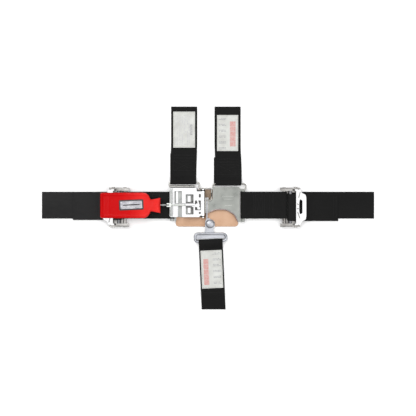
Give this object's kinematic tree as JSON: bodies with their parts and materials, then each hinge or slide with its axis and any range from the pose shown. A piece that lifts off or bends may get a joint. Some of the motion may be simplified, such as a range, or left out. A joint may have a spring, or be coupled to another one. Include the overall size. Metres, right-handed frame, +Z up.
{
  "type": "racing harness",
  "caption": "Five-point racing harness with latch-and-link buckle, cable release grip, cam adjusters on the lap belt and leather buckle pad, laid flat.",
  "frame": {"origin": "under the middle of the layout, on the surface that the harness lies on", "axes": "+Z up, X along the lap belt with +X towards the link side, +Y towards the shoulder belts"},
  "size_m": [0.624, 0.381, 0.0268],
  "materials": {
    "webbing": "woven",
    "label": "printed woven label",
    "leather": "vegetable tanned",
    "chrome": "polished",
    "satin_steel": "satin",
    "zinc_steel": "bright zinc",
    "cable": "stranded",
    "red_plastic": "moulded",
    "badge": "satin silver"
  },
  "bodies": {
    "latch": {"leather_pad": "leather", "latch_base": "chrome", "base_rivets": "satin_steel", "latch_rails": "chrome", "eject_spring": "satin_steel", "hinge_pin": "chrome"},
    "lever": {"latch_lever": "chrome", "latch_hook": "chrome", "cable_anchor": "chrome", "anchor_pin": "chrome"},
    "grip": {"cable_eye": "cable", "release_cable": "cable", "release_grip": "red_plastic", "grip_badge": "badge"},
    "link": {"link_plate": "satin_steel", "left_shoulder_fitting": "zinc_steel", "right_shoulder_fitting": "zinc_steel", "crotch_fitting": "zinc_steel"},
    "left_shoulder": {"left_shoulder_strap": "webbing", "left_shoulder_label": "label"},
    "right_shoulder": {"right_shoulder_strap": "webbing", "right_shoulder_label": "label"},
    "crotch": {"crotch_strap": "webbing", "crotch_label": "label"},
    "left_lap": {"left_lap_inner_strap": "webbing", "left_adjuster_frame": "chrome", "left_adjuster_bar": "chrome", "left_stub_pins": "chrome", "left_lap_outer_strap": "webbing"},
    "left_cam": {"left_cam_lever": "chrome"},
    "left_bar": {"left_slide_bar": "satin_steel"},
    "right_lap": {"right_lap_inner_strap": "webbing", "right_adjuster_frame": "chrome", "right_adjuster_bar": "chrome", "right_stub_pins": "chrome", "right_lap_outer_strap": "webbing"},
    "right_cam": {"right_cam_lever": "chrome"},
    "right_bar": {"right_slide_bar": "satin_steel"}
  },
  "joints": [
    {"name": "lever_open", "type": "hinge", "parent": "latch", "child": "lever", "pos_m": [-0.0094, 0, 0.012], "axis": [0, 1, 0], "range_deg": [0, 80]},
    {"name": "link_release", "type": "slide", "parent": "latch", "child": "link", "axis": [1, 0, 0], "range_m": [0, 0.006]},
    {"name": "left_lap_lift", "type": "hinge", "parent": "latch", "child": "left_lap", "pos_m": [-0.0675, 0.0053, 0.006], "axis": [0, 1, 0], "range_deg": [0, 12]},
    {"name": "grip_swing", "type": "hinge", "parent": "lever", "child": "grip", "pos_m": [-0.0745, 0.0055, 0.0172], "axis": [0, 1, 0], "range_deg": [0, 24]},
    {"name": "right_lap_lift", "type": "hinge", "parent": "link", "child": "right_lap", "pos_m": [0.0655, 0.0053, 0.0071], "axis": [0, -1, 0], "range_deg": [0, 60]},
    {"name": "right_cam_lift", "type": "hinge", "parent": "right_lap", "child": "right_cam", "pos_m": [0.164, 0.0015, 0.007], "axis": [0, -1, 0], "range_deg": [0, 25]},
    {"name": "right_bar_slide", "type": "slide", "parent": "right_lap", "child": "right_bar", "axis": [1, 0, 0], "range_m": [0, 0.002]},
    {"name": "left_cam_lift", "type": "hinge", "parent": "left_lap", "child": "left_cam", "pos_m": [-0.177, 0.0015, 0.007], "axis": [0, 1, 0], "range_deg": [0, 25]},
    {"name": "left_bar_slide", "type": "slide", "parent": "left_lap", "child": "left_bar", "axis": [-1, 0, 0], "range_m": [0, 0.002]},
    {"name": "left_shoulder_lift", "type": "hinge", "parent": "link", "child": "left_shoulder", "pos_m": [-0.0448, 0.0474, 0.0046], "axis": [1, 0, 0], "range_deg": [0, 70]},
    {"name": "right_shoulder_lift", "type": "hinge", "parent": "link", "child": "right_shoulder", "pos_m": [0.0368, 0.045, 0.0046], "axis": [1, 0, 0], "range_deg": [0, 70]},
    {"name": "crotch_lift", "type": "hinge", "parent": "link", "child": "crotch", "pos_m": [0.0049, -0.0625, 0.00535], "axis": [-0.999, -0.0447, 0], "range_deg": [0, 70]}
  ],
  "couplings": [
    {"joint": "link_release", "follows": "lever_open", "m_per_rad": 0.004293},
    {"joint": "grip_swing", "follows": "left_lap_lift", "ratio": 1.999},
    {"joint": "left_cam_lift", "follows": "left_lap_lift", "ratio": 2.083},
    {"joint": "left_bar_slide", "follows": "left_lap_lift", "m_per_rad": 0.00954},
    {"joint": "right_bar_slide", "follows": "right_cam_lift", "m_per_rad": 0.004579}
  ]
}
